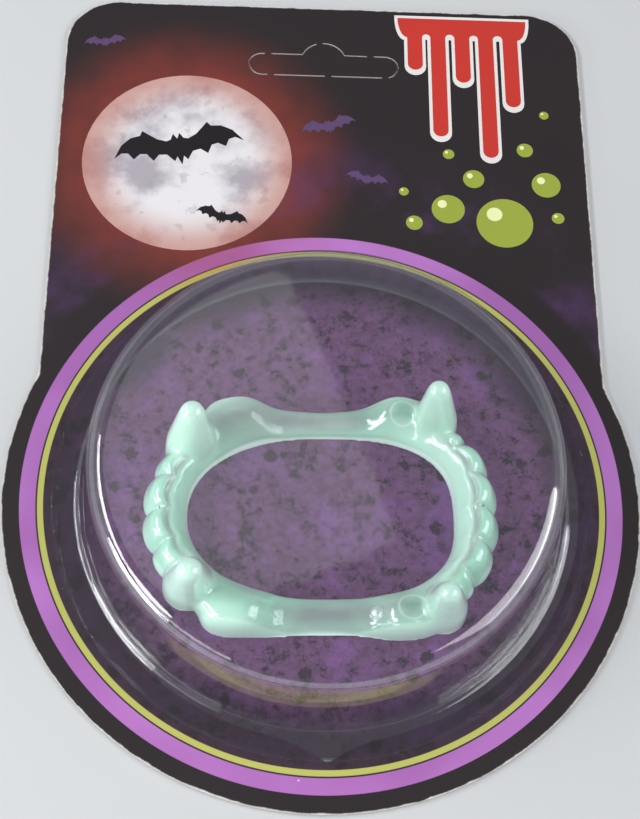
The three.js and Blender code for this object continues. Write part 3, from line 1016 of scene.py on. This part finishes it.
class AddDenture(bpy.types.Operator):
    """Adds the denture: a hollow ring of teeth with four fangs"""

    bl_idname = "fang_card.add_denture"
    bl_label = "Add denture"

    def execute(self, context):
        settings = context.scene.fang_denture
        shape = Denture(settings)
        fangs = [(half, side) for half in (UPPER, LOWER) for side in (1, -1)]
        ring = shape.ring(shape.outer_section, STATIONS)
        parts = join_meshes([ring, *(shape.fang(*fang) for fang in fangs)])
        piece = new_piece("denture_skin", *parts, "glow_plastic")
        roots = [shape.fang_root(*fang) for fang in fangs]
        self.smooth(piece, shape, roots, settings)
        self.hollow(piece, shape)

        shares = SkinShares(read_points(piece.data), shape, roots)
        for name in ("thin", "milky", "lit"):
            put_numbers(piece.data, name, getattr(shares, name)())
        lift = context.scene.fang_backing.thickness + settings.gap
        place = Matrix.Translation((settings.centre_x, settings.centre_y, lift))
        piece.data.transform(place @ Matrix.Rotation(settings.turn, 4, "Z") @ Matrix.Scale(MM, 4))
        piece.data.shade_smooth()
        dress(piece, glow_plastic(settings))
        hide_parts("denture")
        return {"FINISHED"}

    def smooth(self, piece, shape, roots, settings):
        """Fuses the ring and the fangs, rounds roots, ears and bands, and adds the marks."""
        applied(piece, "REMESH", mode="VOXEL", voxel_size=settings.grain / MM)
        mesh = piece.data
        points = read_points(mesh)
        relax(mesh, np.full(len(points), 0.5), SKIN_ROUNDS)
        blend = np.zeros(len(points))
        for x, y, radius, height in roots:
            low = 1 - smoothstep(points[:, 2], height * 0.5, height * 0.66)
            away = away_from(points, x, y)
            ring = plateau(away, radius * 0.5, radius * 0.9, radius * 1.15, radius * 1.5)
            blend = np.maximum(blend, ring * low * smoothstep(points[:, 2], 1.5, 3))
        relax(mesh, blend * 0.5, ROOT_ROUNDS)
        points = read_points(mesh)
        plain = 1 - shape.share_at(points, "forms", 0)
        relax(mesh, 0.5 * plain * smoothstep(points[:, 2], 0.2, 1.2), settings.softness)
        points = read_points(mesh)
        mark_skin(points, shape)
        write_points(mesh, points)

    def hollow(self, piece, shape):
        """Cuts the trough out of the denture from below."""
        trough = new_piece("trough", *shape.ring(shape.trough_section, STATIONS // 2), None)
        applied(piece, "BOOLEAN", operation="DIFFERENCE", object=trough, solver="MANIFOLD")
        bpy.data.objects.remove(trough)


class AddBlister(bpy.types.Operator):
    """Adds the clear dome and its flange"""

    bl_idname = "fang_card.add_blister"
    bl_label = "Add blister"

    def execute(self, context):
        settings = context.scene.fang_blister
        base = context.scene.fang_backing.thickness
        outside = self.skin(settings, base, 0)
        inside = self.skin(settings, base, settings.wall)
        edge = settings.radius + settings.flange
        foot = base + settings.gap
        rim = [(edge, foot), (edge, foot + settings.edge)]
        profile = [*inside, *rim, *outside[::-1]]
        spin = [2 * math.pi * k / settings.sides for k in range(settings.sides)]
        rings = [[self.point(settings, angle, r, z) for angle in spin] for r, z in profile]
        piece = new_piece("blister_shell", *lofted(rings), "clear_blister")
        dress(piece, clear_sheet(settings))
        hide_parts("blister")
        return {"FINISHED"}

    def skin(self, settings, base, inset):
        """Half profile of one face of the sheet, from the middle of the top outwards."""
        fillet = settings.top_fillet - inset
        rim = settings.radius - settings.top_inset - inset
        height = base + settings.height - inset
        bend = settings.foot_fillet + inset
        wall_foot = settings.radius - inset
        seat = base + settings.gap + settings.wall - inset
        profile = [(rim * share, height) for share in (0.08, 0.3, 0.5, 0.7, 0.85)]
        profile += arc(rim - fillet, height - fillet, fillet, 90, 0, 8)
        start = (rim, height - fillet)
        end = (wall_foot, seat + bend)
        for share in (0.25, 0.5, 0.75):
            profile.append(tuple(a + (b - a) * share for a, b in zip(start, end)))
        profile += arc(wall_foot + bend, seat + bend, bend, 180, 270, 6)
        profile.append((settings.radius + settings.flange * 0.7, seat))
        return profile

    def point(self, settings, angle, r, z):
        """A point of the dome, a little uneven as a formed sheet is."""
        top = z / (settings.height + MM)
        wave = sum(share * math.sin(count * angle + phase) for share, count, phase in RIPPLES)
        reach = r + settings.ripple * top * (1 - top) * wave
        return (reach * math.cos(angle), reach * math.sin(angle), z)


class AddCard(bpy.types.Operator):
    """Prints the backing card"""

    bl_idname = "fang_card.add_card"
    bl_label = "Print card"

    def execute(self, context):
        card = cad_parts["backing_card"]
        material = printed_card(context.scene.fang_backing, context.scene.fang_prints)
        for slot in card.material_slots:
            slot.material = material
        return {"FINISHED"}


class AddPrints(bpy.types.Operator):
    """Adds the printed motifs of the card: a moon, bats, drips and bubbles"""

    bl_idname = "fang_card.add_prints"
    bl_label = "Add motifs"

    def execute(self, context):
        settings = context.scene.fang_prints
        moon = circle(*in_millimetres(settings, "moon_x", "moon_y", "moon_radius"))
        self.print_shapes("print_moon", [moon], 1, moon_ink(settings))
        bubbles = [circle(x, y, r) for x, y, r in BUBBLES]
        shine = [circle(x - 0.35 * r, y + 0.35 * r, 0.28 * r) for x, y, r in BUBBLES]
        motifs = (
            ("print_bat_large", [bat(*place) for place in MOON_BATS], 2, "black"),
            ("print_bats_small", [bat(*place) for place in NIGHT_BATS], 1, "violet"),
            ("print_drips", [drips(0)], 2, "red"),
            ("print_drips_edge", [drips(DRIP_EDGE)], 1, "white"),
            ("print_bubbles", bubbles, 1, "lime"),
            ("print_bubble_shine", shine, 2, "pale"),
        )
        for name, outlines, level, tone in motifs:
            material = ink(tone + "_ink", getattr(settings, tone), settings.black)
            self.print_shapes(name, outlines, level, material)
        return {"FINISHED"}

    def print_shapes(self, name, outlines, level, material):
        """A thin layer of ink for each outline, a little over the card's face."""
        base = bpy.context.scene.fang_backing.thickness / MM
        low = base + INK_LAYER * (level - 0.5)
        heights = (low, low + INK_LAYER * 0.6)
        layers = [
            lofted([[(x * MM, y * MM, z * MM) for x, y in outline] for z in heights])
            for outline in outlines
        ]
        piece = new_piece(name, *join_meshes(layers), "printed_card")
        piece.data.shade_flat()
        dress(piece, material)


class AddStage(bpy.types.Operator):
    """Adds the floor, the lights and the camera"""

    bl_idname = "fang_card.add_stage"
    bl_label = "Add stage"

    def execute(self, context):
        settings = context.scene.fang_stage
        scene = context.scene
        self.add_floor(settings)
        for name, shape, place, size in LIGHTS:
            self.add_light(name + "_light", shape, place, size, getattr(settings, name))
        world = bpy.data.worlds.new("studio")
        world.use_nodes = True
        background = world.node_tree.nodes["Background"]
        background.inputs["Color"].default_value = (*settings.sky_colour, 1)
        background.inputs["Strength"].default_value = settings.sky
        scene.world = world
        scene.view_settings.view_transform = "Standard"
        scene.cycles.transparent_max_bounces = 24
        self.add_camera(settings, scene)
        return {"FINISHED"}

    def add_floor(self, settings):
        far = FLOOR_REACH
        corners = [(-far, -far, 0), (far, -far, 0), (far, far, 0), (-far, far, 0)]
        floor = new_piece("floor", corners, [(0, 1, 2, 3)], None)
        look = Look("floor_paper")
        grain = look.noise(60, 3, 0.6)
        shader = look.node("BsdfPrincipled", {
            "Base Color": look.mix(grain * 0.06, settings.floor, settings.grain),
            "Roughness": 0.8,
        })
        dress(floor, look.finish(shader))
        floor.location.z = FLOOR_HEIGHT

    def add_light(self, name, shape, place, size, power):
        lamp = bpy.data.lights.new(name, "AREA")
        lamp.shape = shape
        lamp.size, lamp.size_y = size
        lamp.energy = power
        light = bpy.data.objects.new(name, lamp)
        light.location = place
        light.rotation_euler = (-Vector(place)).to_track_quat("-Z", "Y").to_euler()
        light.visible_camera = False
        bpy.context.scene.collection.objects.link(light)

    def add_camera(self, settings, scene):
        lens = bpy.data.cameras.new("camera")
        lens.lens = settings.lens
        lens.sensor_width = SENSOR_WIDTH
        lens.clip_start, lens.clip_end = 0.01, 20
        camera = bpy.data.objects.new("camera", lens)
        camera.location = CAMERA_PLACE
        aim = Vector(CAMERA_AIM) - camera.location
        camera.rotation_mode = "QUATERNION"
        turn = aim.to_track_quat("-Z", "Y")
        camera.rotation_quaternion = turn @ Quaternion((0, 0, 1), settings.roll)
        scene.collection.objects.link(camera)
        scene.camera = camera


class FangCardPanel(bpy.types.Panel):
    """Lists the pieces in the order that they are made"""

    bl_idname = "VIEW3D_PT_fang_card"
    bl_label = "Fang denture"
    bl_space_type = "VIEW_3D"
    bl_region_type = "UI"
    bl_category = "Denture"

    def draw(self, context):
        for name, group, operator in PIECES:
            box = self.layout.box()
            for setting in group.__annotations__:
                box.prop(getattr(context.scene, name), setting)
            box.operator(operator.bl_idname)


# Name in the scene, settings and operator of each piece, in the panel's order
PIECES = (
    ("fang_denture", DentureSettings, AddDenture),
    ("fang_blister", BlisterSettings, AddBlister),
    ("fang_backing", CardSettings, AddCard),
    ("fang_prints", PrintSettings, AddPrints),
    ("fang_stage", StageSettings, AddStage),
)


def register():
    for name, group, operator in PIECES:
        bpy.utils.register_class(group)
        bpy.utils.register_class(operator)
        setattr(bpy.types.Scene, name, PointerProperty(type=group))
    bpy.utils.register_class(FangCardPanel)


def unregister():
    bpy.utils.unregister_class(FangCardPanel)
    for name, group, operator in reversed(PIECES):
        delattr(bpy.types.Scene, name)
        bpy.utils.unregister_class(operator)
        bpy.utils.unregister_class(group)


def main():
    register()
    bpy.ops.fang_card.add_stage()
    bpy.ops.fang_card.add_card()
    bpy.ops.fang_card.add_prints()
    bpy.ops.fang_card.add_denture()
    bpy.ops.fang_card.add_blister()


if __name__ == "__main__":
    main()
